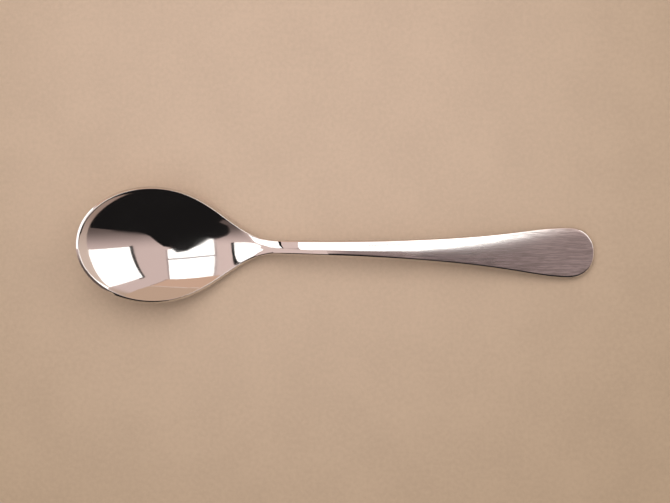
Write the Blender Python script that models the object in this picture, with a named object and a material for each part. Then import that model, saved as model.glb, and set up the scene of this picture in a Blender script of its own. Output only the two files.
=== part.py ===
"""Coffee spoon: one blank of stainless steel, pressed and polished.

Run with: blender --background --python part.py

The frame is in metres with +Z up. The spoon lies on a table at Z = 0 as it does when it is put down:
on the back of its bowl and on the end of its handle. X runs along the spoon, with the tip of the bowl
at -X, and Y across it. The origin is on the table, under the middle of the length.

The skin of one half is a grid. One way it follows the outline from the tip to the handle's end. The
other way it goes round the half section: over the top, down the cut edge and back along the underside.
"""

import math

import bmesh
import bpy
import numpy as np

MM = 0.001

# Plan of the blank, in millimetres. Stations are measured along X from the tip of the bowl.
LENGTH = 135.0
BOWL_HALF_WIDTH = 15.42
BOWL_WIDEST = 19.5
NECK_STATION = 51.6
NECK_HALF_WIDTH = 1.98
HANDLE_WIDEST = 128.0
HANDLE_HALF_WIDTH = 6.67
END_ROUNDNESS = 2.2

# How far the outline runs on level from the bowl, into the neck, out of the neck and into the handle's end.
# The first keeps the curvature of the ellipse that bounds the tip.
SHOULDER_REACH = BOWL_WIDEST * math.sqrt(2.0 / 3.0 * (1.0 - NECK_HALF_WIDTH / BOWL_HALF_WIDTH))
NECK_REACH = 11.6
STEM_REACH = 59.0
FLARE_REACH = 11.9

# Side view: height of the top edge over the table. Past its last point the handle runs on straight.
TOP_EDGE = [
    (0.0, 14.0),
    (20.0, 8.45),
    (30.0, 4.95),
    (39.0, 2.9),
    (46.0, 3.71),
    (50.5, 4.92),
    (55.0, 5.82),
    (70.0, 6.86),
    (112.0, 3.9),
]

# Thickness on the centre line, height of the cut edge, and crown of the handle's top over its edges.
THICKNESS = [(34.0, 1.0), (54.0, 2.3), (112.0, 1.5)]
EDGE_DROP = [(0.0, 0.38), (14.0, 0.65), (34.0, 0.65), (54.0, 1.5), (112.0, 1.4)]
CROWN = [(39.0, 0.0), (60.0, 0.45), (112.0, 0.1)]

# The cut edge lies nearly level at the tip, leans outwards round the bowl and stands upright on the handle.
EDGE_LEAN = [(0.0, 0.75), (14.0, 0.65), (36.0, 0.65), (54.0, 0.1)]

# Hollow of the bowl. It narrows and its sides soften where it runs out into the neck.
BOWL_DEPTH = 5.6
WALL_FULLNESS = 0.25
OPENING = [(42.3, 1.0), (51.0, 0.31)]
SOFTENING = [(40.0, 1.0), (49.0, 2.2)]

# How far the rounding of the two edges reaches from each corner.
ROUNDING = [(36.0, 0.12), (56.0, 0.5)]

# The bowl and the neck are polished, and the handle is brushed from here on.
BRUSHED_FROM = 62.0

# Faces along the outline, and round the half section.
TIP_FACES = 16
SHOULDER_FACES = 20
STEM_FACES = 22
END_FACES = 10
TOP_FACES = 10
ROUND_FACES = 3
UNDER_FACES = 8

# How far the spine of the grid stays inside the two round ends.
TIP_FAN = 10.0
END_FAN = 4.0

MERGE_DISTANCE = 0.00001


def smooth_curve(knots):
    """Return a function through the knots with no jump in curvature, straight past the last one."""
    x = np.array([knot[0] for knot in knots])
    y = np.array([knot[1] for knot in knots])
    step = np.diff(x)
    matrix = np.eye(len(x))
    bend = np.zeros(len(x))
    for i in range(1, len(x) - 1):
        matrix[i, i - 1 : i + 2] = step[i - 1], 2.0 * (step[i - 1] + step[i]), step[i]
        bend[i] = 6.0 * ((y[i + 1] - y[i]) / step[i] - (y[i] - y[i - 1]) / step[i - 1])
    curvature = np.linalg.solve(matrix, bend)
    end_slope = (y[-1] - y[-2]) / step[-1] + step[-1] * curvature[-2] / 6.0

    def value(station):
        if station >= x[-1]:
            return y[-1] + end_slope * (station - x[-1])
        i = max(int(np.searchsorted(x, station)) - 1, 0)
        before = station - x[i]
        after = x[i + 1] - station
        cubic = (curvature[i] * after**3 + curvature[i + 1] * before**3) / (6.0 * step[i])
        left = (y[i] / step[i] - curvature[i] * step[i] / 6.0) * after
        right = (y[i + 1] / step[i] - curvature[i + 1] * step[i] / 6.0) * before
        return cubic + left + right

    return value


def eased(knots):
    """Return a function that eases from knot to knot, level at each one and beyond both ends."""

    def value(station):
        for (x0, y0), (x1, y1) in zip(knots, knots[1:]):
            if station < x1:
                part = max((station - x0) / (x1 - x0), 0.0)
                return y0 + (y1 - y0) * part**3 * (part * (6.0 * part - 15.0) + 10.0)
        return knots[-1][1]

    return value


top_edge = smooth_curve(TOP_EDGE)
thickness = eased(THICKNESS)
edge_drop = eased(EDGE_DROP)
edge_lean = eased(EDGE_LEAN)
crown = eased(CROWN)
opening = eased(OPENING)
softening = eased(SOFTENING)
rounding = eased(ROUNDING)


def bezier(a, b, c, d, part):
    """Return the value at a part of a cubic curve with ends a and d and handles b and c."""
    rest = 1.0 - part
    return rest**3 * a + 3.0 * rest**2 * part * b + 3.0 * rest * part**2 * c + part**3 * d


def level_ended(start, start_reach, end, end_reach, station):
    """Return the height at a station of a curve that leaves its start and reaches its end level."""
    low, high = 0.0, 1.0
    for _ in range(40):
        part = (low + high) / 2.0
        if bezier(start[0], start[0] + start_reach, end[0] - end_reach, end[0], part) < station:
            low = part
        else:
            high = part
    return bezier(start[1], start[1], end[1], end[1], low)


def half_width(station, inset):
    """Return the half width at a station of the outline moved inwards by an inset."""
    bowl = (BOWL_WIDEST, BOWL_HALF_WIDTH)
    neck = (NECK_STATION, NECK_HALF_WIDTH)
    handle = (HANDLE_WIDEST, HANDLE_HALF_WIDTH)
    if station < BOWL_WIDEST:
        along = (BOWL_WIDEST - station) / (BOWL_WIDEST - inset)
        return (BOWL_HALF_WIDTH - inset) * math.sqrt(max(1.0 - along**2, 0.0))
    if station < NECK_STATION:
        return level_ended(bowl, SHOULDER_REACH, neck, NECK_REACH, station) - inset
    if station < HANDLE_WIDEST:
        return level_ended(neck, STEM_REACH, handle, FLARE_REACH, station) - inset
    along = (station - HANDLE_WIDEST) / (LENGTH - inset - HANDLE_WIDEST)
    return (HANDLE_HALF_WIDTH - inset) * max(1.0 - along**END_ROUNDNESS, 0.0) ** (1.0 / END_ROUNDNESS)


def inset_station(station, inset):
    """Return where a station of the outline goes when the outline is moved inwards."""
    if station < BOWL_WIDEST:
        return BOWL_WIDEST - (BOWL_WIDEST - station) * (1.0 - inset / BOWL_WIDEST)
    if station > HANDLE_WIDEST:
        return HANDLE_WIDEST + (station - HANDLE_WIDEST) * (1.0 - inset / (LENGTH - HANDLE_WIDEST))
    return station


def across_share(station, offset, inset):
    """Return how far from the centre line an offset lies, as a share of the half width."""
    width = half_width(station, inset)
    return min(offset / width, 1.0) if width > 0.0 else 1.0


def tip_share(station, inset):
    """Return the share of a form that is left towards the tip, in step with the width squared."""
    if station > BOWL_WIDEST:
        return 1.0
    return (half_width(station, inset) / (BOWL_HALF_WIDTH - inset)) ** 2


def heel_share(station, inset):
    """Return the share of the bowl's depth that is left towards the neck, in step with the width squared."""
    if station < BOWL_WIDEST:
        return 1.0
    if station > NECK_STATION:
        return 0.0
    neck = NECK_HALF_WIDTH - inset
    return (half_width(station, inset) ** 2 - neck**2) / ((BOWL_HALF_WIDTH - inset) ** 2 - neck**2)


def end_share(station, inset):
    """Return the share of the crown that is left towards the end of the handle."""
    along = max((station - HANDLE_WIDEST) / (LENGTH - inset - HANDLE_WIDEST), 0.0)
    return 1.0 - min(along, 1.0) ** END_ROUNDNESS


def hollow(station, across, inset):
    """Return the depth of the bowl's form as a share of its greatest, with walls fuller than a parabola."""
    depth = tip_share(station, inset) * heel_share(station, inset)
    return depth * (1.0 + WALL_FULLNESS * depth * across**2)


def top_height(station, offset):
    """Return the height of the top skin: the crowned blank with the hollow pressed into it."""
    inset = edge_lean(station)
    across = across_share(station, offset, inset)
    blank = top_edge(station) + crown(station) * end_share(station, inset) * (1.0 - across**2)
    in_hollow = min(across / opening(station), 1.0)
    wall = (1.0 - in_hollow**2) ** softening(station)
    return blank - BOWL_DEPTH * hollow(station, in_hollow, inset) * wall


def under_height(station, offset):
    """Return the height of the under skin: the back of the bowl, running out to the handle's flat back."""
    across = across_share(station, offset, 0.0)
    rib = (thickness(station) - edge_drop(station) - crown(station)) * tip_share(station, 0.0)
    belly = BOWL_DEPTH * hollow(station, across, 0.0) + rib
    return top_edge(station) - edge_drop(station) - belly * (1.0 - across**2)


def stations():
    """Return the stations along the outline, closer together round both ends."""
    tip = [BOWL_WIDEST * (1.0 - math.cos(math.pi / 2.0 * i / TIP_FACES)) for i in range(TIP_FACES)]
    shoulder = list(np.linspace(BOWL_WIDEST, NECK_STATION, SHOULDER_FACES, endpoint=False))
    stem = list(np.linspace(NECK_STATION, HANDLE_WIDEST, STEM_FACES, endpoint=False))
    reach = LENGTH - HANDLE_WIDEST
    end = [HANDLE_WIDEST + reach * math.sin(math.pi / 2.0 * i / END_FACES) for i in range(END_FACES + 1)]
    return tip + shoulder + stem + end


def spine(station):
    """Return where on the centre line the section through a station of the outline starts."""
    if station < BOWL_WIDEST:
        turn = math.acos(1.0 - station / BOWL_WIDEST) / (math.pi / 2.0)
        return TIP_FAN + (BOWL_WIDEST - TIP_FAN) * turn
    if station < HANDLE_WIDEST:
        return station
    turn = math.asin((station - HANDLE_WIDEST) / (LENGTH - HANDLE_WIDEST)) / (math.pi / 2.0)
    return HANDLE_WIDEST + (LENGTH - END_FAN - HANDLE_WIDEST) * turn


def skin(station, share, on_top):
    """Return the point of the top or under skin at a share of the way from the spine to the edge."""
    inset = edge_lean(station) if on_top else 0.0
    start = spine(station)
    x = start + share * (inset_station(station, inset) - start)
    y = share * half_width(inset_station(station, inset), inset)
    z = top_height(x, y) if on_top else under_height(x, y)
    return np.array((x - LENGTH / 2.0, y, z))


def smooth_share(station, on_top):
    """Return the share of the way to the edge at which the rounding of the edge starts."""
    reach = np.linalg.norm(skin(station, 1.0, on_top) - skin(station, 0.0, on_top))
    return 1.0 - rounding(station) / reach


def rounded(station, part, on_top):
    """Return a point of a rounded edge: part 0 is on the skin and part 1 on the cut edge."""
    inner = skin(station, smooth_share(station, on_top), on_top)
    corner = skin(station, 1.0, on_top)
    edge = skin(station, 1.0, not on_top) - corner
    outer = corner + edge * rounding(station) / np.linalg.norm(edge)
    rest = 1.0 - part
    return rest**2 * inner + 2.0 * rest * part * corner + part**2 * outer


def skin_point(station, column):
    """Return the point of the half skin at a station and at a column round the section."""
    last = 2 * ROUND_FACES + 1 + TOP_FACES + UNDER_FACES
    from_top = column - TOP_FACES
    from_under = last - UNDER_FACES - column
    if from_top <= 0:
        return skin(station, smooth_share(station, True) * column / TOP_FACES, True)
    if from_top <= ROUND_FACES:
        return rounded(station, from_top / ROUND_FACES, True)
    if from_under > 0:
        return rounded(station, from_under / ROUND_FACES, False)
    return skin(station, smooth_share(station, False) * (last - column) / UNDER_FACES, False)


def steel(name, colour, roughness):
    """Return a steel material."""
    material = bpy.data.materials.new(name)
    material.use_nodes = True
    shader = material.node_tree.nodes["Principled BSDF"]
    shader.inputs["Base Color"].default_value = (*colour, 1.0)
    shader.inputs["Metallic"].default_value = 1.0
    shader.inputs["Roughness"].default_value = roughness
    return material


def half_skin():
    """Return a mesh of the half at +Y."""
    places = stations()
    columns = 2 * ROUND_FACES + 1 + TOP_FACES + UNDER_FACES
    grid = bmesh.new()
    bmesh.ops.create_grid(grid, x_segments=len(places) - 1, y_segments=columns, size=0.5)
    station_of = {}
    for vertex in grid.verts:
        station_of[vertex] = places[round((vertex.co.x + 0.5) * (len(places) - 1))]
        vertex.co = skin_point(station_of[vertex], round((vertex.co.y + 0.5) * columns)) * MM
    for face in grid.faces:
        face.smooth = True
        face.material_index = int(min(station_of[vertex] for vertex in face.verts) >= BRUSHED_FROM)
    mesh = bpy.data.meshes.new("coffee_spoon")
    grid.to_mesh(mesh)
    grid.free()
    return mesh


def add_spoon():
    """Add the spoon: the half skin and its mirror image."""
    mesh = half_skin()
    mesh.materials.append(steel("polished_steel", (0.74, 0.71, 0.69), 0.06))
    mesh.materials.append(steel("brushed_steel", (0.70, 0.67, 0.65), 0.3))
    spoon = bpy.data.objects.new("coffee_spoon", mesh)
    bpy.context.scene.collection.objects.link(spoon)
    mirror = spoon.modifiers.new("other_half", "MIRROR")
    mirror.use_axis = (False, True, False)
    mirror.merge_threshold = MERGE_DISTANCE


def main():
    """Clear the scene and model the spoon."""
    for item in list(bpy.data.objects):
        bpy.data.objects.remove(item)
    add_spoon()


main()
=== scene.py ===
"""Coffee spoon: its polished bowl and brushed handle, lying on a sheet of paper in a small studio.

The frame is in metres with +Z up. The spoon's own sizes are in millimetres, and its stations are measured
from the tip of its bowl.
"""

import logging
import math
from dataclasses import dataclass, field
from enum import Enum

import bmesh
import bpy
import numpy as np
from mathutils import Matrix, Vector


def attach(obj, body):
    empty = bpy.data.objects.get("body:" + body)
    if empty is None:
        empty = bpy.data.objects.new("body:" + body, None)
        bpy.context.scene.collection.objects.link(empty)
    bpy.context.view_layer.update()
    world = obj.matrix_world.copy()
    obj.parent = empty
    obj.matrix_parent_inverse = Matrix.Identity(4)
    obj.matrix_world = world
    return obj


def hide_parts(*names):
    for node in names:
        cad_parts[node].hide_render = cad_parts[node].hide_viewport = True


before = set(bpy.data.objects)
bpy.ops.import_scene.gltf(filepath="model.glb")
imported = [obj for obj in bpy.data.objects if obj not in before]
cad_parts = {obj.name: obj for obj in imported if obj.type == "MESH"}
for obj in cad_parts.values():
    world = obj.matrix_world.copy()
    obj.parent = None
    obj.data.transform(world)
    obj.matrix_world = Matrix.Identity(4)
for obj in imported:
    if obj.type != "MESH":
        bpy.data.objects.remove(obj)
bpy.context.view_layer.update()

log = logging.getLogger("coffee_spoon")

MM = 0.001

Knots = tuple[tuple[float, float], ...]
Colour = tuple[float, float, float]
Point = tuple[float, float, float]
PlanPoint = tuple[float, float]
Outline = tuple[PlanPoint, ...]
Span = tuple[float, float]
Setting = bpy.types.NodeSocket | float | tuple[float, ...]


class Finish(Enum):
    """The finishes of the steel, as the spoon's material slots."""

    POLISHED = 0
    BRUSHED = 1


class Skin(Enum):
    """The two faces of the pressed sheet."""

    TOP = "top"
    UNDER = "under"

    @property
    def other(self) -> "Skin":
        """The face on the other side of the sheet."""
        return Skin.UNDER if self is Skin.TOP else Skin.TOP


@dataclass(frozen=True)
class SmoothCurve:
    """A curve through its knots with no jump in curvature, straight past the last one."""

    knots: Knots

    def at(self, station: np.ndarray) -> np.ndarray:
        """Read the curve.

        Args:
            station: Places along the spoon.

        Returns:
            The curve's value at each place.
        """
        x, y = np.array(self.knots).T
        step = np.diff(x)
        matrix = np.eye(len(x))
        bend = np.zeros(len(x))
        for i in range(1, len(x) - 1):
            matrix[i, i - 1 : i + 2] = step[i - 1], 2.0 * (step[i - 1] + step[i]), step[i]
            bend[i] = 6.0 * ((y[i + 1] - y[i]) / step[i] - (y[i] - y[i - 1]) / step[i - 1])
        curvature = np.linalg.solve(matrix, bend)
        end_slope = (y[-1] - y[-2]) / step[-1] + step[-1] * curvature[-2] / 6.0
        i = np.clip(np.searchsorted(x, station) - 1, 0, len(step) - 1)
        before = station - x[i]
        after = x[i + 1] - station
        cubic = (curvature[i] * after**3 + curvature[i + 1] * before**3) / (6.0 * step[i])
        left = (y[i] / step[i] - curvature[i] * step[i] / 6.0) * after
        right = (y[i + 1] / step[i] - curvature[i + 1] * step[i] / 6.0) * before
        beyond = y[-1] + end_slope * (station - x[-1])
        return np.where(station >= x[-1], beyond, cubic + left + right)


@dataclass(frozen=True)
class EasedCurve:
    """A curve that eases from knot to knot, level at each one and beyond both ends."""

    knots: Knots

    def at(self, station: np.ndarray) -> np.ndarray:
        """Read the curve.

        Args:
            station: Places along the spoon.

        Returns:
            The curve's value at each place.
        """
        value = np.full_like(station, self.knots[0][1])
        for (x0, y0), (x1, y1) in zip(self.knots, self.knots[1:]):
            part = np.clip((station - x0) / (x1 - x0), 0.0, 1.0)
            value = value + (y1 - y0) * part**3 * (part * (6.0 * part - 15.0) + 10.0)
        return value


def bezier(a: float, b: float, c: float, d: float, part: np.ndarray) -> np.ndarray:
    """Read a cubic curve.

    Args:
        a: Its start.
        b: The handle of its start.
        c: The handle of its end.
        d: Its end.
        part: How far along it to read, from 0 to 1.

    Returns:
        The curve's value at each part.
    """
    rest = 1.0 - part
    return rest**3 * a + 3.0 * rest**2 * part * b + 3.0 * rest * part**2 * c + part**3 * d


@dataclass(frozen=True)
class Blank:
    """The outline of the sheet that the spoon is pressed from, in millimetres."""

    length: float = 135.0
    bowl_half_width: float = 15.42
    bowl_widest: float = 19.5
    neck_station: float = 51.6
    neck_half_width: float = 1.98
    handle_widest: float = 128.0
    handle_half_width: float = 6.67
    end_roundness: float = 2.2
    neck_reach: float = 11.6
    stem_reach: float = 59.0
    flare_reach: float = 11.9
    halvings: int = 40

    @property
    def shoulder_reach(self) -> float:
        """How far the outline runs on level past the bowl's widest place, to keep its tip's curvature."""
        narrowing = 1.0 - self.neck_half_width / self.bowl_half_width
        return self.bowl_widest * math.sqrt(2.0 / 3.0 * narrowing)

    def level_ended(
        self, start: PlanPoint, start_reach: float, end: PlanPoint, end_reach: float, station: np.ndarray
    ) -> np.ndarray:
        """Read a curve that leaves its start and reaches its end level.

        Args:
            start: Station and half width of its start.
            start_reach: How far its start runs on level.
            end: Station and half width of its end.
            end_reach: How far its end runs on level.
            station: Places along the spoon.

        Returns:
            The half width at each place.
        """
        low = np.zeros_like(station)
        high = np.ones_like(station)
        for _ in range(self.halvings):
            part = (low + high) / 2.0
            short = bezier(start[0], start[0] + start_reach, end[0] - end_reach, end[0], part) < station
            low = np.where(short, part, low)
            high = np.where(short, high, part)
        return bezier(start[1], start[1], end[1], end[1], low)

    def half_width(self, station: np.ndarray, inset: np.ndarray) -> np.ndarray:
        """Measure the outline moved inwards.

        Args:
            station: Places along the spoon.
            inset: How far inwards the outline is moved at each.

        Returns:
            The half width at each place.
        """
        bowl = (self.bowl_widest, self.bowl_half_width)
        neck = (self.neck_station, self.neck_half_width)
        handle = (self.handle_widest, self.handle_half_width)
        to_tip = np.clip((self.bowl_widest - station) / (self.bowl_widest - inset), 0.0, 1.0)
        tip = (self.bowl_half_width - inset) * np.sqrt(1.0 - to_tip**2)
        shoulder = self.level_ended(bowl, self.shoulder_reach, neck, self.neck_reach, station) - inset
        stem = self.level_ended(neck, self.stem_reach, handle, self.flare_reach, station) - inset
        end_share = self.end_share(station, inset)
        end = (self.handle_half_width - inset) * end_share ** (1.0 / self.end_roundness)
        stretches = [station < self.bowl_widest, station < self.neck_station, station < self.handle_widest]
        return np.select(stretches, [tip, shoulder, stem], end)

    def inset_station(self, station: np.ndarray, inset: np.ndarray) -> np.ndarray:
        """Follow stations of the outline as it is moved inwards.

        Args:
            station: Places along the spoon.
            inset: How far inwards the outline is moved at each.

        Returns:
            Where each station goes.
        """
        tip = self.bowl_widest - (self.bowl_widest - station) * (1.0 - inset / self.bowl_widest)
        end_length = self.length - self.handle_widest
        end = self.handle_widest + (station - self.handle_widest) * (1.0 - inset / end_length)
        return np.select([station < self.bowl_widest, station > self.handle_widest], [tip, end], station)

    def across_share(self, station: np.ndarray, offset: np.ndarray, inset: np.ndarray) -> np.ndarray:
        """Measure how far from the centre line points lie, as a share of the half width.

        Args:
            station: Places along the spoon.
            offset: Distances from the centre line.
            inset: How far inwards the outline is moved at each.

        Returns:
            The share at each place, from 0 to 1.
        """
        width = self.half_width(station, inset)
        share = np.minimum(offset / np.maximum(width, 1e-9), 1.0)
        return np.where(width > 0.0, share, 1.0)

    def tip_share(self, station: np.ndarray, inset: np.ndarray) -> np.ndarray:
        """Measure how much of a form is left towards the tip, in step with the width squared.

        Args:
            station: Places along the spoon.
            inset: How far inwards the outline is moved at each.

        Returns:
            The share at each place, from 0 to 1.
        """
        share = (self.half_width(station, inset) / (self.bowl_half_width - inset)) ** 2
        return np.where(station > self.bowl_widest, 1.0, share)

    def heel_share(self, station: np.ndarray, inset: np.ndarray) -> np.ndarray:
        """Measure how much of the bowl's depth is left towards the neck, in step with the width squared.

        Args:
            station: Places along the spoon.
            inset: How far inwards the outline is moved at each.

        Returns:
            The share at each place, from 0 to 1.
        """
        neck = self.neck_half_width - inset
        widest = self.bowl_half_width - inset
        share = (self.half_width(station, inset) ** 2 - neck**2) / (widest**2 - neck**2)
        return np.select([station < self.bowl_widest, station > self.neck_station], [1.0, 0.0], share)

    def end_share(self, station: np.ndarray, inset: np.ndarray) -> np.ndarray:
        """Measure how much of a form is left towards the end of the handle.

        Args:
            station: Places along the spoon.
            inset: How far inwards the outline is moved at each.

        Returns:
            The share at each place, from 0 to 1.
        """
        along = (station - self.handle_widest) / (self.length - inset - self.handle_widest)
        return 1.0 - np.clip(along, 0.0, 1.0) ** self.end_roundness


@dataclass(frozen=True)
class Pressing:
    """The form that the blank is pressed into, in millimetres."""

    blank: Blank = field(default_factory=Blank)
    top_edge: SmoothCurve = SmoothCurve(
        (
            (0.0, 14.0), (20.0, 8.45), (30.0, 4.95), (39.0, 2.9), (46.0, 3.71), (50.5, 4.92),
            (55.0, 5.82), (70.0, 6.86), (112.0, 3.9),
        )
    )
    thickness: EasedCurve = EasedCurve(((34.0, 1.0), (54.0, 2.3), (112.0, 1.5)))
    edge_drop: EasedCurve = EasedCurve(((0.0, 0.38), (14.0, 0.65), (34.0, 0.65), (54.0, 1.5), (112.0, 1.4)))
    crown: EasedCurve = EasedCurve(((39.0, 0.0), (60.0, 0.45), (112.0, 0.1)))
    edge_lean: EasedCurve = EasedCurve(((0.0, 0.75), (14.0, 0.65), (36.0, 0.65), (54.0, 0.1)))
    bowl_depth: float = 5.6
    wall_fullness: float = 0.25
    opening: EasedCurve = EasedCurve(((42.3, 1.0), (51.0, 0.31)))
    softening: EasedCurve = EasedCurve(((40.0, 1.0), (49.0, 2.2)))

    def hollow(self, station: np.ndarray, across: np.ndarray, inset: np.ndarray) -> np.ndarray:
        """Measure the bowl's form, with walls fuller than a parabola.

        Args:
            station: Places along the spoon.
            across: Shares of the half width.
            inset: How far inwards the outline is moved at each.

        Returns:
            The depth at each place as a share of the greatest.
        """
        depth = self.blank.tip_share(station, inset) * self.blank.heel_share(station, inset)
        return depth * (1.0 + self.wall_fullness * depth * across**2)

    def top_height(self, station: np.ndarray, offset: np.ndarray) -> np.ndarray:
        """Measure the top face: the crowned blank with the hollow pressed into it.

        Args:
            station: Places along the spoon.
            offset: Distances from the centre line.

        Returns:
            The height over the table at each place.
        """
        inset = self.edge_lean.at(station)
        across = self.blank.across_share(station, offset, inset)
        rise = self.crown.at(station) * self.blank.end_share(station, inset) * (1.0 - across**2)
        in_hollow = np.minimum(across / self.opening.at(station), 1.0)
        wall = (1.0 - in_hollow**2) ** self.softening.at(station)
        sunk = self.bowl_depth * self.hollow(station, in_hollow, inset) * wall
        return self.top_edge.at(station) + rise - sunk

    def under_height(self, station: np.ndarray, offset: np.ndarray) -> np.ndarray:
        """Measure the under face: the back of the bowl, running out to the handle's flat back.

        Args:
            station: Places along the spoon.
            offset: Distances from the centre line.

        Returns:
            The height over the table at each place.
        """
        square = np.zeros_like(station)
        across = self.blank.across_share(station, offset, square)
        spare = self.thickness.at(station) - self.edge_drop.at(station) - self.crown.at(station)
        rib = spare * self.blank.tip_share(station, square)
        belly = self.bowl_depth * self.hollow(station, across, square) + rib
        return self.top_edge.at(station) - self.edge_drop.at(station) - belly * (1.0 - across**2)


class ShaderGraph:
    """A node tree, with short calls that add nodes to it and join them."""

    def __init__(self, tree: bpy.types.NodeTree) -> None:
        """Start with an empty tree."""
        self.tree = tree
        tree.nodes.clear()

    def put(self, socket: bpy.types.NodeSocket, value: Setting) -> None:
        """Link a socket to another, or set its constant.

        Args:
            socket: The socket to fill.
            value: The socket that it is linked to, or its constant.
        """
        if isinstance(value, bpy.types.NodeSocket):
            self.tree.links.new(value, socket)
        else:
            socket.default_value = value

    def add(self, kind: str, inputs: dict[str | int, Setting], **settings: str | bool) -> bpy.types.Node:
        """Add a node.

        Args:
            kind: The node's type, without its common prefix.
            inputs: A constant or a linked socket for each named or numbered input.
            settings: The node's own options.

        Returns:
            The node.
        """
        node = self.tree.nodes.new("ShaderNode" + kind)
        for name, value in settings.items():
            setattr(node, name, value)
        for name, value in inputs.items():
            self.put(node.inputs[name], value)
        return node

    def math(
        self, operation: str, first: Setting, second: Setting = 0.0, third: Setting = 0.0
    ) -> bpy.types.NodeSocket:
        """Join up to three values by an operation."""
        return self.add("Math", {0: first, 1: second, 2: third}, operation=operation).outputs[0]

    def ramp(
        self, value: Setting, start: float, end: float, low: Setting, high: Setting
    ) -> bpy.types.NodeSocket:
        """Ease from one value to another.

        Args:
            value: The value that drives the change.
            start: Where the change starts.
            end: Where it ends.
            low: The result before the start.
            high: The result past the end.

        Returns:
            The eased value.
        """
        names = ("Value", "From Min", "From Max", "To Min", "To Max")
        inputs = dict(zip(names, (value, start, end, low, high)))
        return self.add("MapRange", inputs, interpolation_type="SMOOTHSTEP").outputs[0]

    def blend(self, part: Setting, first: Setting, second: Setting) -> bpy.types.NodeSocket:
        """Mix two colours."""
        return self.add("Mix", {0: part, 6: first, 7: second}, data_type="RGBA").outputs[2]

    def scale(self, part: Setting, colour: Setting) -> bpy.types.NodeSocket:
        """Multiply a colour by a value."""
        return self.add("VectorMath", {0: colour, "Scale": part}, operation="SCALE").outputs[0]

    def noise(self, stretch: Point, detail: float, roughness: float = 0.5) -> bpy.types.NodeSocket:
        """Add a noise on Object coordinates.

        Args:
            stretch: Waves per metre along X, Y and Z.
            detail: How many finer layers it has.
            roughness: How strong the finer layers are.

        Returns:
            The noise, from 0 to 1.
        """
        place = self.add("TexCoord", {}).outputs["Object"]
        mapped = self.add("Mapping", {"Vector": place, "Scale": stretch}).outputs[0]
        inputs = {"Vector": mapped, "Scale": 1.0, "Detail": detail, "Roughness": roughness}
        return self.add("TexNoise", inputs).outputs[0]


def opaque(colour: Colour) -> tuple[float, float, float, float]:
    """Return a colour with full opacity."""
    return (*colour, 1.0)


def new_material(name: str) -> tuple[bpy.types.Material, ShaderGraph]:
    """Make an empty material.

    Args:
        name: The material's name.

    Returns:
        The material and the graph of its nodes.
    """
    material = bpy.data.materials.new(name)
    material.use_nodes = True
    return material, ShaderGraph(material.node_tree)


@dataclass(frozen=True)
class PolishedSteel:
    """Mirror-polished steel with faint smudges and hair-fine scratches from use."""

    colour: Colour = (0.76, 0.735, 0.715)
    shaded_colour: Colour = (0.72, 0.69, 0.665)
    clean_roughness: float = 0.035
    smudged_roughness: float = 0.085
    smudge_waves: Point = (70.0, 110.0, 110.0)
    smudge_detail: float = 3.0
    smudge_edge: Span = (0.4, 0.75)
    scratch_waves: Point = (500.0, 5200.0, 5200.0)
    scratch_detail: float = 2.0
    scratch_depth: float = 0.000002
    scratch_strength: float = 0.6

    def material(self) -> bpy.types.Material:
        """Make the finish.

        Returns:
            Its material.
        """
        material, graph = new_material("polished_steel")
        smudge = graph.noise(self.smudge_waves, self.smudge_detail)
        scratch = graph.noise(self.scratch_waves, self.scratch_detail)
        roughness = graph.ramp(smudge, *self.smudge_edge, self.clean_roughness, self.smudged_roughness)
        tint = graph.blend(smudge, opaque(self.colour), opaque(self.shaded_colour))
        inputs = {"Strength": self.scratch_strength, "Distance": self.scratch_depth, "Height": scratch}
        bump = graph.add("Bump", inputs)
        inputs = {"Base Color": tint, "Metallic": 1.0, "Roughness": roughness, "Normal": bump.outputs[0]}
        shader = graph.add("BsdfPrincipled", inputs)
        graph.add("OutputMaterial", {"Surface": shader.outputs[0]})
        return material


@dataclass(frozen=True)
class BrushedSteel:
    """Steel brushed along its length, which fades out of the polish towards the neck."""

    polish: PolishedSteel
    light_colour: Colour = (0.82, 0.79, 0.77)
    dark_colour: Colour = (0.53, 0.50, 0.48)
    smooth_roughness: float = 0.12
    rough_roughness: float = 0.17
    smear: float = 0.6
    hairline_waves: Point = (190.0, 2700.0, 190.0)
    hairline_detail: float = 3.0
    hairline_roughness: float = 0.6
    hairline_share: float = 0.7
    hairline_depth: float = 0.00000025
    fine_waves: Point = (500.0, 5500.0, 500.0)
    fine_detail: float = 2.0
    streak_edge: Span = (0.36, 0.64)

    def material(self) -> bpy.types.Material:
        """Make the finish.

        Returns:
            Its material.
        """
        material, graph = new_material("brushed_steel")
        brushing = graph.add("Attribute", {}, attribute_name="brushing").outputs["Fac"]
        hairline = graph.noise(self.hairline_waves, self.hairline_detail, self.hairline_roughness)
        fine = graph.noise(self.fine_waves, self.fine_detail)
        finer_grain = graph.math("MULTIPLY", fine, 1.0 - self.hairline_share)
        grain = graph.math("MULTIPLY_ADD", hairline, self.hairline_share, finer_grain)
        streak = graph.ramp(grain, *self.streak_edge, 0.0, 1.0)
        brushed_tint = graph.blend(streak, opaque(self.light_colour), opaque(self.dark_colour))
        tint = graph.blend(brushing, opaque(self.polish.colour), brushed_tint)
        brushed_roughness = graph.ramp(streak, 0.0, 1.0, self.smooth_roughness, self.rough_roughness)
        roughness = graph.ramp(brushing, 0.0, 1.0, self.polish.clean_roughness, brushed_roughness)
        inputs = {"Strength": brushing, "Distance": self.hairline_depth, "Height": grain}
        bump = graph.add("Bump", inputs)
        tangent = graph.add("Tangent", {}, direction_type="UV_MAP", uv_map="grain")
        inputs = {
            "Base Color": tint,
            "Metallic": 1.0,
            "Roughness": roughness,
            "Anisotropic": self.smear,
            "Tangent": tangent.outputs[0],
            "Normal": bump.outputs[0],
        }
        shader = graph.add("BsdfPrincipled", inputs)
        graph.add("OutputMaterial", {"Surface": shader.outputs[0]})
        return material


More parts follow.
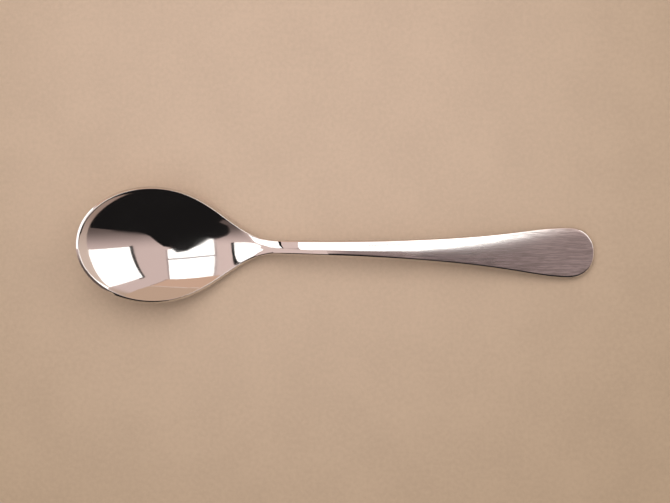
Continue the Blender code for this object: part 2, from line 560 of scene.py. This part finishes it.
@dataclass(frozen=True)
class Paper:
    """Plain pale paper with a fine grain, which runs out into the backdrop far from the spoon; painted shade
    darkens it away from a centre near the spoon.
    """

    colour: Colour = (0.604, 0.440, 0.328)
    # painted shade: the darker colour that the paper fades to away from a centre near the spoon
    painted_shade_colour: Colour = (0.447, 0.317, 0.213)
    backdrop: Colour = (0.552, 0.402, 0.287)
    roughness: float = 0.9
    specular: float = 0.2
    grain: float = 0.05
    fleck_waves: Point = (900.0, 900.0, 900.0)
    fleck_detail: float = 4.0
    fleck_roughness: float = 0.6
    fleck_share: float = 0.6
    cloud_waves: Point = (60.0, 60.0, 60.0)
    cloud_detail: float = 3.0
    mottle_edge: Span = (0.3, 0.7)
    tooth: float = 0.00006
    tooth_strength: float = 0.5
    # centre and reach of the painted shade on the paper
    painted_shade_centre: Point = (-0.02, 0.05, 0.0)
    painted_shade_edge: Span = (0.02, 0.17)
    fade: Span = (0.3, 1.0)

    def material(self) -> bpy.types.Material:
        """Make the finish.

        Returns:
            Its material.
        """
        material, graph = new_material("paper")
        fleck = graph.noise(self.fleck_waves, self.fleck_detail, self.fleck_roughness)
        cloud = graph.noise(self.cloud_waves, self.cloud_detail)
        clouding = graph.math("MULTIPLY", cloud, 1.0 - self.fleck_share)
        mottle = graph.math("MULTIPLY_ADD", fleck, self.fleck_share, clouding)
        level = graph.ramp(mottle, *self.mottle_edge, 1.0 - self.grain, 1.0 + self.grain)
        place = graph.add("TexCoord", {}).outputs["Object"]
        # painted shade: the paper's colour darkens towards the painted shade colour with distance from a
        # centre near the spoon
        apart = graph.add("VectorMath", {0: place, 1: self.painted_shade_centre}, operation="DISTANCE").outputs["Value"]
        painted_shade_share = graph.ramp(apart, *self.painted_shade_edge, 0.0, 1.0)
        tint = graph.scale(level, graph.blend(painted_shade_share, opaque(self.colour), opaque(self.painted_shade_colour)))
        bump = graph.add("Bump", {"Strength": self.tooth_strength, "Distance": self.tooth, "Height": fleck})
        inputs = {
            "Base Color": tint,
            "Roughness": self.roughness,
            "Specular IOR Level": self.specular,
            "Normal": bump.outputs[0],
        }
        sheet = graph.add("BsdfPrincipled", inputs)
        far = graph.add("Emission", {"Color": opaque(self.backdrop), "Strength": 1.0})
        distance = graph.add("VectorMath", {0: place}, operation="LENGTH").outputs["Value"]
        fade = graph.ramp(distance, *self.fade, 0.0, 1.0)
        mixed = graph.add("MixShader", {0: fade, 1: sheet.outputs[0], 2: far.outputs[0]})
        graph.add("OutputMaterial", {"Surface": mixed.outputs[0]})
        return material


@dataclass
class Spoon:
    """The spoon: one pressed blank, with a skin fine enough for clean reflections."""

    pressing: Pressing = field(default_factory=Pressing)
    rounding: EasedCurve = EasedCurve(((36.0, 0.12), (56.0, 0.5)))
    brushed_from: float = 62.0
    brushed_fully: float = 98.0
    edge_brushing: float = 0.25
    tip_fan: float = 10.0
    end_fan: float = 4.0
    tip_faces: int = 56
    shoulder_faces: int = 96
    stem_faces: int = 120
    end_faces: int = 32
    top_faces: int = 28
    round_faces: int = 6
    under_faces: int = 20
    merge_distance: float = 0.000002

    @property
    def columns(self) -> int:
        """How many faces go round the half section."""
        return self.top_faces + 2 * self.round_faces + 1 + self.under_faces

    def stations(self) -> np.ndarray:
        """Space the sections along the outline.

        Returns:
            Their stations, closer together round both ends.
        """
        blank = self.pressing.blank
        turn = math.pi / 2.0
        tip = blank.bowl_widest * (1.0 - np.cos(turn * np.arange(self.tip_faces) / self.tip_faces))
        shoulder = np.linspace(blank.bowl_widest, blank.neck_station, self.shoulder_faces, endpoint=False)
        stem = np.linspace(blank.neck_station, blank.handle_widest, self.stem_faces, endpoint=False)
        reach = blank.length - blank.handle_widest
        end = blank.handle_widest + reach * np.sin(turn * np.arange(self.end_faces + 1) / self.end_faces)
        return np.concatenate((tip, shoulder, stem, end))

    def spine(self, station: np.ndarray) -> np.ndarray:
        """Find where on the centre line each section starts.

        Args:
            station: Stations of the outline.

        Returns:
            The start of the section that runs out to each station.
        """
        blank = self.pressing.blank
        turn = math.pi / 2.0
        tip_turn = np.arccos(np.clip(1.0 - station / blank.bowl_widest, 0.0, 1.0)) / turn
        tip = self.tip_fan + (blank.bowl_widest - self.tip_fan) * tip_turn
        reach = blank.length - blank.handle_widest
        end_turn = np.arcsin(np.clip((station - blank.handle_widest) / reach, 0.0, 1.0)) / turn
        end = blank.handle_widest + (reach - self.end_fan) * end_turn
        return np.select([station < blank.bowl_widest, station < blank.handle_widest], [tip, station], end)

    def skin(self, station: np.ndarray, share: np.ndarray, side: Skin) -> np.ndarray:
        """Find points of a face of the sheet.

        Args:
            station: Stations of the outline.
            share: How far from the spine to the edge each point lies.
            side: The face.

        Returns:
            The points, one row each.
        """
        blank = self.pressing.blank
        inset = self.pressing.edge_lean.at(station) if side is Skin.TOP else np.zeros_like(station)
        start = self.spine(station)
        edge = blank.inset_station(station, inset)
        x = start + share * (edge - start)
        y = share * blank.half_width(edge, inset)
        height = self.pressing.top_height if side is Skin.TOP else self.pressing.under_height
        return np.column_stack((x - blank.length / 2.0, y, height(x, y)))

    def smooth_share(self, station: np.ndarray, side: Skin) -> np.ndarray:
        """Find how far from the spine to the edge its rounding starts.

        Args:
            station: Stations of the outline.
            side: The face of the sheet.

        Returns:
            The share at each station.
        """
        ones = np.ones_like(station)
        reach = np.linalg.norm(self.skin(station, ones, side) - self.skin(station, 0.0 * ones, side), axis=1)
        return 1.0 - self.rounding.at(station) / reach

    def rounded(self, station: np.ndarray, part: np.ndarray, side: Skin) -> np.ndarray:
        """Find points of a rounded edge.

        Args:
            station: Stations of the outline.
            part: How far round each point lies, from 0 on the face to 1 on the cut edge.
            side: The face of the sheet.

        Returns:
            The points, one row each.
        """
        ones = np.ones_like(station)
        inner = self.skin(station, self.smooth_share(station, side), side)
        corner = self.skin(station, ones, side)
        edge = self.skin(station, ones, side.other) - corner
        outer = corner + edge * (self.rounding.at(station) / np.linalg.norm(edge, axis=1))[:, None]
        part = part[:, None]
        rest = 1.0 - part
        return rest**2 * inner + 2.0 * rest * part * corner + part**2 * outer

    def points(self, station: np.ndarray, column: np.ndarray) -> np.ndarray:
        """Find points of the half skin.

        Args:
            station: Stations of the outline.
            column: Columns round the section, from the centre of the top to the centre of the underside.

        Returns:
            The points, one row each, in millimetres.
        """
        from_top = column - self.top_faces
        to_under = self.columns - self.under_faces - column
        top_share = np.clip(column / self.top_faces, 0.0, 1.0)
        under_share = np.clip((self.columns - column) / self.under_faces, 0.0, 1.0)
        top = self.skin(station, self.smooth_share(station, Skin.TOP) * top_share, Skin.TOP)
        upper = self.rounded(station, from_top / self.round_faces, Skin.TOP)
        lower = self.rounded(station, to_under / self.round_faces, Skin.UNDER)
        under = self.skin(station, self.smooth_share(station, Skin.UNDER) * under_share, Skin.UNDER)
        zones = [from_top <= 0, from_top <= self.round_faces, to_under > 0]
        return np.select([zone[:, None] for zone in zones], [top, upper, lower], under)

    def brushing(self, station: np.ndarray, column: np.ndarray) -> np.ndarray:
        """Measure how strongly the skin is brushed: less on its rounded edges, which stay bright.

        Args:
            station: Stations of the outline.
            column: Columns round the section.

        Returns:
            The strength at each point, from 0 to 1.
        """
        along = EasedCurve(((self.brushed_from, 0.0), (self.brushed_fully, 1.0))).at(station)
        on_edge = (column > self.top_faces) & (column < self.columns - self.under_faces)
        return along * np.where(on_edge, self.edge_brushing, 1.0)

    def half_skin(self) -> bmesh.types.BMesh:
        """Bend a grid into half of the spoon, with its brushing as an attribute.

        Returns:
            The half at +Y.
        """
        places = self.stations()
        rows = len(places) - 1
        half = bmesh.new()
        bmesh.ops.create_grid(half, x_segments=rows, y_segments=self.columns, size=0.5)
        flat = np.array([vertex.co for vertex in half.verts]) + 0.5
        station = places[np.rint(flat[:, 0] * rows).astype(int)]
        column = np.rint(flat[:, 1] * self.columns)
        layer = half.verts.layers.float.new("brushing")
        shaped = zip(half.verts, self.points(station, column) * MM, self.brushing(station, column))
        for vertex, point, strength in shaped:
            vertex.co = point
            vertex[layer] = strength
        return half

    def build(self) -> bpy.types.Object:
        """Join the half skin and its mirror image, facing out.

        Returns:
            The whole spoon.
        """
        shell = self.half_skin()
        geometry = [*shell.verts, *shell.edges, *shell.faces]
        bmesh.ops.mirror(shell, geom=geometry, merge_dist=self.merge_distance, axis="Y")
        bmesh.ops.remove_doubles(shell, verts=shell.verts, dist=self.merge_distance)
        bmesh.ops.dissolve_degenerate(shell, edges=shell.edges, dist=self.merge_distance)
        bmesh.ops.recalc_face_normals(shell, faces=shell.faces)
        grain = shell.loops.layers.uv.new("grain")
        brushed_x = (self.brushed_from - self.pressing.blank.length / 2.0) * MM
        for face in shell.faces:
            face.smooth = True
            brushed = face.calc_center_median().x > brushed_x
            face.material_index = (Finish.BRUSHED if brushed else Finish.POLISHED).value
            for loop in face.loops:
                loop[grain].uv = (loop.vert.co.y, loop.vert.co.x)
        mesh = bpy.data.meshes.new("spoon")
        shell.to_mesh(mesh)
        shell.free()
        spoon = bpy.data.objects.new("spoon", mesh)
        bpy.context.scene.collection.objects.link(spoon)
        return spoon

    def dress(self, spoon: bpy.types.Object) -> None:
        """Give the spoon its finishes, in the order of its slots.

        Args:
            spoon: The built spoon.
        """
        polish = PolishedSteel()
        finishes = {Finish.POLISHED: polish, Finish.BRUSHED: BrushedSteel(polish)}
        for finish in Finish:
            spoon.data.materials.append(finishes[finish].material())

    def add(self) -> bpy.types.Object:
        """Build the spoon in place of the CAD solid and dress it.

        Returns:
            The finished spoon.
        """
        spoon = self.build()
        self.dress(spoon)
        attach(spoon, "root")
        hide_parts("coffee_spoon")
        return spoon


class Plane(Enum):
    """The way that a panel of the studio stands, by the coordinate that is the same all over it."""

    ACROSS_X = 0
    ACROSS_Y = 1
    LEVEL = 2


@dataclass(frozen=True)
class Panel:
    """A flat panel of the studio that only reflections show, in metres: a softbox, wall, flag or card."""

    name: str
    plane: Plane
    place: float
    outline: Outline
    glow: Colour
    lights: bool = False
    slant: float = 0.0
    far_glow: Colour | None = None
    fade: Span = (0.0, 1.0)

    def corner(self, first: float, second: float) -> Point:
        """Place a corner of the outline in space.

        Args:
            first: Its first coordinate in the panel's plane.
            second: Its second one.

        Returns:
            The corner.
        """
        point = [first, second]
        point.insert(self.plane.value, self.place + self.slant * second)
        return tuple(point)

    def material(self) -> bpy.types.Material:
        """Make the glow that the panel shows, even or fading along it into a second one.

        Returns:
            Its material.
        """
        material, graph = new_material(self.name)
        place = graph.add("TexCoord", {}).outputs["Object"]
        along = graph.add("SeparateXYZ", {0: place}).outputs["Y" if self.plane is Plane.ACROSS_X else "X"]
        share = graph.ramp(along, *self.fade, 0.0, 1.0)
        glow = graph.blend(share, opaque(self.glow), opaque(self.far_glow or self.glow))
        shader = graph.add("Emission", {"Color": glow, "Strength": 1.0})
        graph.add("OutputMaterial", {"Surface": shader.outputs[0]})
        return material

    def add(self) -> None:
        """Add the panel, unseen by the camera and without a shadow."""
        sheet = bmesh.new()
        sheet.faces.new([sheet.verts.new(self.corner(*point)) for point in self.outline])
        mesh = bpy.data.meshes.new(self.name)
        sheet.to_mesh(mesh)
        sheet.free()
        mesh.materials.append(self.material())
        panel = bpy.data.objects.new(self.name, mesh)
        bpy.context.scene.collection.objects.link(panel)
        panel.visible_camera = False
        panel.visible_diffuse = self.lights
        panel.visible_shadow = False


@dataclass
class Studio:
    """The floor, the lamps, the flags, the cards and the plain surroundings, in metres."""

    paper: Paper = field(default_factory=Paper)
    floor_size: float = 12.0
    # Colours that the steel mirrors
    wall: Colour = (0.80, 0.62, 0.58)
    bowl_end_wall: Colour = (0.89, 0.69, 0.645)
    near_wall: Colour = (0.15, 0.11, 0.10)
    fill: Colour = (0.46, 0.46, 0.46)
    black: Colour = (0.012, 0.011, 0.011)
    lamp: Colour = (2.0, 1.96, 1.92)
    bright: Colour = (2.8, 2.74, 2.68)
    tan: Colour = (0.66, 0.46, 0.34)
    warm_tan: Colour = (0.76, 0.50, 0.37)
    pale_tan: Colour = (0.88, 0.68, 0.60)
    sill: Colour = (0.41, 0.29, 0.24)
    far_sill: Colour = (0.81, 0.64, 0.55)
    grey: Colour = (0.232, 0.168, 0.164)
    pale_grey: Colour = (0.35, 0.26, 0.25)
    side: Colour = (0.54, 0.425, 0.405)
    # Directions in which the surroundings change colour
    bowl_end_fade: Span = (-0.5, -0.1)
    near_fade: Span = (-0.45, 0.0)
    near_swing: float = -0.215
    horizon_fade: Span = (0.15, 0.3)
    # Places of the panels, along the coordinate that is the same all over each
    overhead: float = 1.604
    overhead_frame: float = 1.60
    handle_end: float = 1.355
    handle_end_frame: float = 1.35
    bowl_end: float = -1.445
    bowl_end_frame: float = -1.44
    far_wall: float = 1.62
    far_wall_trim: float = 1.61
    handle_end_sill: float = 0.80
    flag_height: float = 0.455
    near_flag: float = -2.4
    bowl_flag: float = -0.01234
    bowl_flag_slant: float = -0.8
    neck_card: float = -0.0245
    low_card_height: float = 0.012
    card_height: float = 0.03
    bright_card_height: float = 0.031
    # Where along a panel its colour changes
    sill_fade: Span = (-0.6, 0.25)
    stem_fade: Span = (-0.012, 0.004)
    band_fade: Span = (0.04, 0.073)
    handle_fade: Span = (0.035, 0.07)
    # The lamp that lights the paper
    key_power: float = 7.4
    key_size: float = 1.8
    key_place: Point = (-0.2, 0.65, 1.45)

    def add_floor(self) -> None:
        """Add the sheet of paper under the spoon."""
        sheet = bmesh.new()
        bmesh.ops.create_grid(sheet, x_segments=8, y_segments=8, size=self.floor_size / 2.0)
        mesh = bpy.data.meshes.new("floor")
        sheet.to_mesh(mesh)
        sheet.free()
        mesh.materials.append(self.paper.material())
        floor = bpy.data.objects.new("floor", mesh)
        bpy.context.scene.collection.objects.link(floor)

    def add_world(self) -> None:
        """Add the surroundings: what the camera and the steel see, and an even fill of light."""
        world = bpy.data.worlds.new("surroundings")
        world.use_nodes = True
        graph = ShaderGraph(world.node_tree)
        direction = graph.add("TexCoord", {}).outputs["Generated"]
        parts = graph.add("SeparateXYZ", {0: direction}).outputs
        bowl_end = graph.ramp(parts["X"], *self.bowl_end_fade, 1.0, 0.0)
        far_wall = graph.blend(bowl_end, opaque(self.wall), opaque(self.bowl_end_wall))
        handle_end = graph.math("MAXIMUM", parts["X"], 0.0)
        far_side = graph.math("MULTIPLY_ADD", handle_end, self.near_swing, parts["Y"])
        far = graph.ramp(far_side, *self.near_fade, 0.0, 1.0)
        walls = graph.blend(far, opaque(self.near_wall), far_wall)
        up = graph.ramp(parts["Z"], *self.horizon_fade, 0.0, 1.0)
        seen_colour = graph.blend(up, opaque(self.paper.backdrop), walls)
        path = graph.add("LightPath", {}).outputs
        seen = graph.math("MAXIMUM", path["Is Camera Ray"], path["Is Glossy Ray"])
        seen = graph.math("MAXIMUM", seen, path["Is Transmission Ray"])
        colour = graph.blend(seen, opaque(self.fill), seen_colour)
        background = graph.add("Background", {"Color": colour, "Strength": 1.0})
        graph.add("OutputWorld", {"Surface": background.outputs[0]})
        bpy.context.scene.world = world

    def lamps(self) -> tuple[Panel, ...]:
        """Lay out the softboxes.

        Returns:
            One overhead towards the far side, and one beyond each end of the spoon.
        """
        overhead = (
            (-0.59, -0.53), (-0.03, -0.51), (0.193, -0.106), (0.28, 0.0), (0.39, 0.125),
            (0.49, 0.158), (0.44, 0.7), (0.362, 1.65), (-0.892, 1.65), (-0.738, 0.967),
            (-0.655, 0.453), (-0.612, 0.045),
        )
        handle_end = ((0.182, 0.746), (0.098, 1.642), (1.946, 1.922), (1.862, 0.592))
        bowl_end = (
            (-0.21, 1.36), (1.9, 1.36), (1.9, 1.8), (0.95, 1.9), (0.85, 1.93), (0.7, 2.1),
            (0.448, 2.2), (-0.21, 2.29),
        )
        return (
            Panel("softbox_overhead", Plane.LEVEL, self.overhead, overhead, self.lamp, lights=True),
            Panel("softbox_handle_end", Plane.ACROSS_X, self.handle_end, handle_end, self.lamp, lights=True),
            Panel("softbox_bowl_end", Plane.ACROSS_X, self.bowl_end, bowl_end, self.lamp, lights=True),
        )

    def walls(self) -> tuple[Panel, ...]:
        """Lay out the low walls.

        Returns:
            The two bands of the far wall with their seam and corner, and the sill beyond the handle's end.
        """
        band = ((0.605, 0.97), (0.38, 0.985), (-0.043, 0.928), (-0.476, 0.782), (-1.1, 0.57))
        far = ((-1.1, 0.0), (0.684, 0.0), (0.684, 0.7), *band)
        far_top = (*reversed(band), (0.43, 1.555), (-1.1, 1.59))
        seam = (
            (-1.1, 0.555), (-0.476, 0.765), (-0.043, 0.91), (0.38, 0.968), (0.59, 0.958),
            (0.59, 0.99), (0.38, 1.002), (-0.043, 0.946), (-0.476, 0.799), (-1.1, 0.585),
        )
        corner = ((0.43, 1.555), (0.5, 1.294), (0.598, 0.993), (0.618, 0.993), (0.526, 1.294), (0.456, 1.555))
        sill = (
            (-2.4, 0.0), (1.15, 0.0), (1.15, 0.368), (0.89, 0.388), (0.671, 0.419), (0.356, 0.457),
            (0.118, 0.467), (-0.25, 0.44), (-0.4, 0.430), (-0.664, 0.417), (-1.0, 0.407),
            (-1.4, 0.40), (-2.4, 0.39),
        )
        sill_glows = {"glow": self.sill, "far_glow": self.far_sill, "fade": self.sill_fade}
        return (
            Panel("far_wall", Plane.ACROSS_Y, self.far_wall, far, self.tan),
            Panel("far_wall_top", Plane.ACROSS_Y, self.far_wall, far_top, self.warm_tan),
            Panel("far_wall_seam", Plane.ACROSS_Y, self.far_wall_trim, seam, self.pale_tan),
            Panel("far_wall_corner", Plane.ACROSS_Y, self.far_wall_trim, corner, self.sill),
            Panel("sill", Plane.ACROSS_X, self.handle_end_sill, sill, **sill_glows),
        )

    def frames(self) -> tuple[Panel, ...]:
        """Lay out the frames of the softboxes.

        Returns:
            The dark frames at both ends, and the bar and the sides of the one overhead.
        """
        handle_end = ((0.06, 1.636), (0.06, 1.751), (2.05, 2.053), (2.05, 1.72), (1.95, 1.72), (1.946, 1.922))
        bar = ((0.48, 0.47), (-0.66, 0.35), (-0.66, 0.395), (0.48, 0.515))
        bowl_end = (
            (-0.22, 2.195), (0.163, 2.175), (0.448, 2.122), (0.629, 2.05), (0.773, 1.955),
            (0.81, 1.875), (0.92, 1.935), (1.04, 1.985), (1.15, 2.06), (0.829, 2.177),
            (0.478, 2.277), (0.177, 2.341), (-0.22, 2.385),
        )
        left = ((0.49, 0.158), (0.44, 0.7), (0.362, 1.66), (0.412, 1.66), (0.49, 0.7), (0.53, 0.158))
        right = (
            (-0.59, -0.53), (-0.612, 0.045), (-0.655, 0.453), (-0.738, 0.967), (-0.892, 1.65),
            (-0.945, 1.65), (-0.79, 0.967), (-0.7, 0.453), (-0.655, 0.045), (-0.63, -0.53),
        )
        return (
            Panel("frame_handle_end", Plane.ACROSS_X, self.handle_end_frame, handle_end, self.black),
            Panel("frame_bowl_end", Plane.ACROSS_X, self.bowl_end_frame, bowl_end, self.black),
            Panel("bar_overhead", Plane.LEVEL, self.overhead_frame, bar, self.grey),
            Panel("left_side_overhead", Plane.LEVEL, self.overhead_frame, left, self.side),
            Panel("right_side_overhead", Plane.LEVEL, self.overhead_frame, right, self.side),
        )

    def flags(self) -> tuple[Panel, ...]:
        """Lay out the dark flags.

        Returns:
            Two large ones on the near side, and a small one close over the bowl.
        """
        near = ((-0.9, 0.0), (0.99, 0.0), (0.99, 1.0), (0.6, 3.4), (-0.6, 3.4), (-0.9, 1.6))
        overhead = (
            (0.80, -0.28), (0.42, -0.158), (0.2716, -0.118), (0.207, -0.083), (0.165, -0.024),
            (0.13, 0.014), (0.095, 0.018), (0.085, -0.05), (0.06, -2.4), (0.99, -2.4),
            (0.97, -1.58), (0.95, -1.1), (0.92, -0.73), (0.88, -0.43),
        )
        over_bowl = (
            (-0.0023, 0.0293), (-0.0007, 0.0295), (0.0005, 0.0298), (0.0026, 0.0313),
            (0.0023, 0.0340), (-0.0004, 0.0380), (-0.0053, 0.0432), (-0.0058, 0.0475),
            (-0.0151, 0.0635), (-0.0240, 0.0745), (-0.0310, 0.0784), (-0.0418, 0.0795),
            (-0.0400, 0.0660), (-0.0656, 0.0855), (-0.0745, 0.1052), (-0.0850, 0.1400),
            (-0.3000, 0.1400), (-0.3000, 0.0280), (-0.0040, 0.0280),
        )
        return (
            Panel("flag_overhead", Plane.LEVEL, self.flag_height, overhead, self.black),
            Panel("flag_near", Plane.ACROSS_Y, self.near_flag, near, self.black),
            Panel(
                "flag_over_bowl",
                Plane.ACROSS_X,
                self.bowl_flag,
                over_bowl,
                self.black,
                slant=self.bowl_flag_slant,
            ),
        )

    def neck_cards(self) -> tuple[Panel, ...]:
        """Lay out the small cards close to the neck, for its own reflections.

        Returns:
            The cards across the spoon, then the level ones.
        """
        over_neck = (
            (0.00203, 0.0051), (0.00069, 0.0055), (0.00049, 0.00663), (0.00015, 0.00774),
            (0.0, 0.00864), (-0.00041, 0.00982), (-0.00229, 0.00986), (-0.00305, 0.00885),
            (-0.006, 0.009), (-0.006, 0.018), (-0.0012, 0.018), (-0.00071, 0.01678),
            (0.00012, 0.01201), (0.00016, 0.00966), (0.0003, 0.00836), (0.0006, 0.0072),
            (0.00118, 0.00616),
        )
        bright_neck = (
            (0.0125, 0.0151), (0.0071, 0.0168), (0.0022, 0.0179), (0.0002, 0.0195),
            (-0.0015, 0.0201), (-0.0015, 0.0229), (0.0004, 0.0221), (0.0027, 0.0205),
            (0.0086, 0.0189), (0.015, 0.0164),
        )
        bar_neck = (
            (0.015, 0.0164), (0.0086, 0.0189), (0.0027, 0.0205), (0.0004, 0.0221),
            (-0.0028, 0.0233), (-0.0031, 0.0248), (0.0005, 0.0236), (0.005, 0.0222),
            (0.0105, 0.0212), (0.0187, 0.0176),
        )
        beside_neck = (
            (-0.016, 0.008), (-0.013, 0.0), (-0.01185, -0.0005), (-0.01189, 0.00174),
            (-0.0121, 0.00403), (-0.0126, 0.008),
        )
        along_neck = (
            (-0.022, -0.0015), (-0.0179, -0.0013), (-0.0096, -0.002), (-0.003, -0.0025),
            (-0.003, -0.009), (-0.022, -0.009),
        )
        return (
            Panel("card_over_neck", Plane.ACROSS_X, self.neck_card, over_neck, self.bowl_end_wall),
            Panel("card_bright_neck", Plane.ACROSS_X, self.neck_card, bright_neck, self.lamp),
            Panel("flag_bar_neck", Plane.ACROSS_X, self.neck_card, bar_neck, self.black),
            Panel("card_along_neck", Plane.LEVEL, self.low_card_height, along_neck, self.bowl_end_wall),
            Panel("card_beside_neck", Plane.LEVEL, self.low_card_height, beside_neck, self.bowl_end_wall),
        )

    def handle_cards(self) -> tuple[Panel, ...]:
        """Lay out the cards over the handle, which mirrors their far edge as the edge of its bright band.

        Returns:
            The cards along the near side of the stem and of the handle, and a bright one above the handle's.
        """
        over_stem = (
            (-0.012, -0.0066), (-0.0013, -0.0061), (0.0057, -0.0054), (0.0124, -0.0039),
            (0.019, -0.0021), (0.0253, -0.0007), (0.0253, -0.0105), (0.012, -0.0125),
            (-0.002, -0.016), (-0.012, -0.02),
        )
        over_handle = (
            (0.0253, -0.0007), (0.0314, 0.0009), (0.0425, 0.0028), (0.048, 0.004), (0.0535, 0.005),
            (0.059, 0.006), (0.068, 0.0074), (0.08, 0.0088), (0.1, 0.0112), (0.1, -0.011),
            (0.0253, -0.0105),
        )
        bright_handle = ((0.02, -0.003), (0.09, 0.004), (0.09, 0.03), (0.02, 0.022))
        stem_glows = {"glow": self.bowl_end_wall, "far_glow": self.pale_grey, "fade": self.stem_fade}
        band_glows = {"glow": self.bright, "far_glow": self.wall, "fade": self.band_fade}
        handle_glows = {"glow": self.grey, "far_glow": self.pale_grey, "fade": self.handle_fade}
        return (
            Panel("card_over_stem", Plane.LEVEL, self.card_height, over_stem, **stem_glows),
            Panel("card_bright_handle", Plane.LEVEL, self.bright_card_height, bright_handle, **band_glows),
            Panel("card_over_handle", Plane.LEVEL, self.card_height, over_handle, **handle_glows),
        )

    def add_key(self) -> None:
        """Add the soft lamp that lights the paper and throws the shadow, which the steel doesn't show."""
        lamp = bpy.data.lights.new("key", "AREA")
        lamp.energy = self.key_power
        lamp.size = self.key_size
        key = bpy.data.objects.new("key", lamp)
        place = Vector(self.key_place)
        key.location = place
        key.rotation_euler = place.to_track_quat("Z", "Y").to_euler()
        key.visible_camera = False
        key.visible_glossy = False
        bpy.context.scene.collection.objects.link(key)

    def add(self) -> None:
        """Build the studio."""
        self.add_floor()
        self.add_world()
        self.add_key()
        cards = (*self.neck_cards(), *self.handle_cards())
        for panel in (*self.lamps(), *self.walls(), *self.frames(), *self.flags(), *cards):
            panel.add()


@dataclass(frozen=True)
class CameraRig:
    """The camera, almost overhead, leaning towards the handle."""

    target: Point = (-0.000175, -0.000852, 0.005)
    distance: float = 0.45
    lean: float = math.radians(5.5)
    roll: float = math.radians(1.0705)
    lens: float = 92.11
    sensor_width: float = 36.0
    clip_start: float = 0.01

    def add(self) -> None:
        """Add the camera and make it the scene's."""
        back = Vector((math.sin(self.lean), 0.0, math.cos(self.lean)))
        level = Vector((math.cos(self.lean), 0.0, -math.sin(self.lean)))
        far = Vector((0.0, 1.0, 0.0))
        right = level * math.cos(self.roll) + far * math.sin(self.roll)
        up = far * math.cos(self.roll) - level * math.sin(self.roll)
        data = bpy.data.cameras.new("camera")
        data.lens = self.lens
        data.sensor_width = self.sensor_width
        data.clip_start = self.clip_start
        camera = bpy.data.objects.new("camera", data)
        turn = Matrix((right, up, back)).transposed().to_4x4()
        camera.matrix_world = Matrix.Translation(Vector(self.target) + back * self.distance) @ turn
        bpy.context.scene.collection.objects.link(camera)
        bpy.context.scene.camera = camera


def main() -> None:
    """Build the camera, the studio and the spoon."""
    logging.basicConfig(level=logging.INFO)
    bpy.context.scene.view_settings.view_transform = "Standard"
    CameraRig().add()
    Studio().add()
    spoon = Spoon().add()
    log.info("%s: %d faces", spoon.name, len(spoon.data.polygons))


if __name__ == "__main__":
    main()
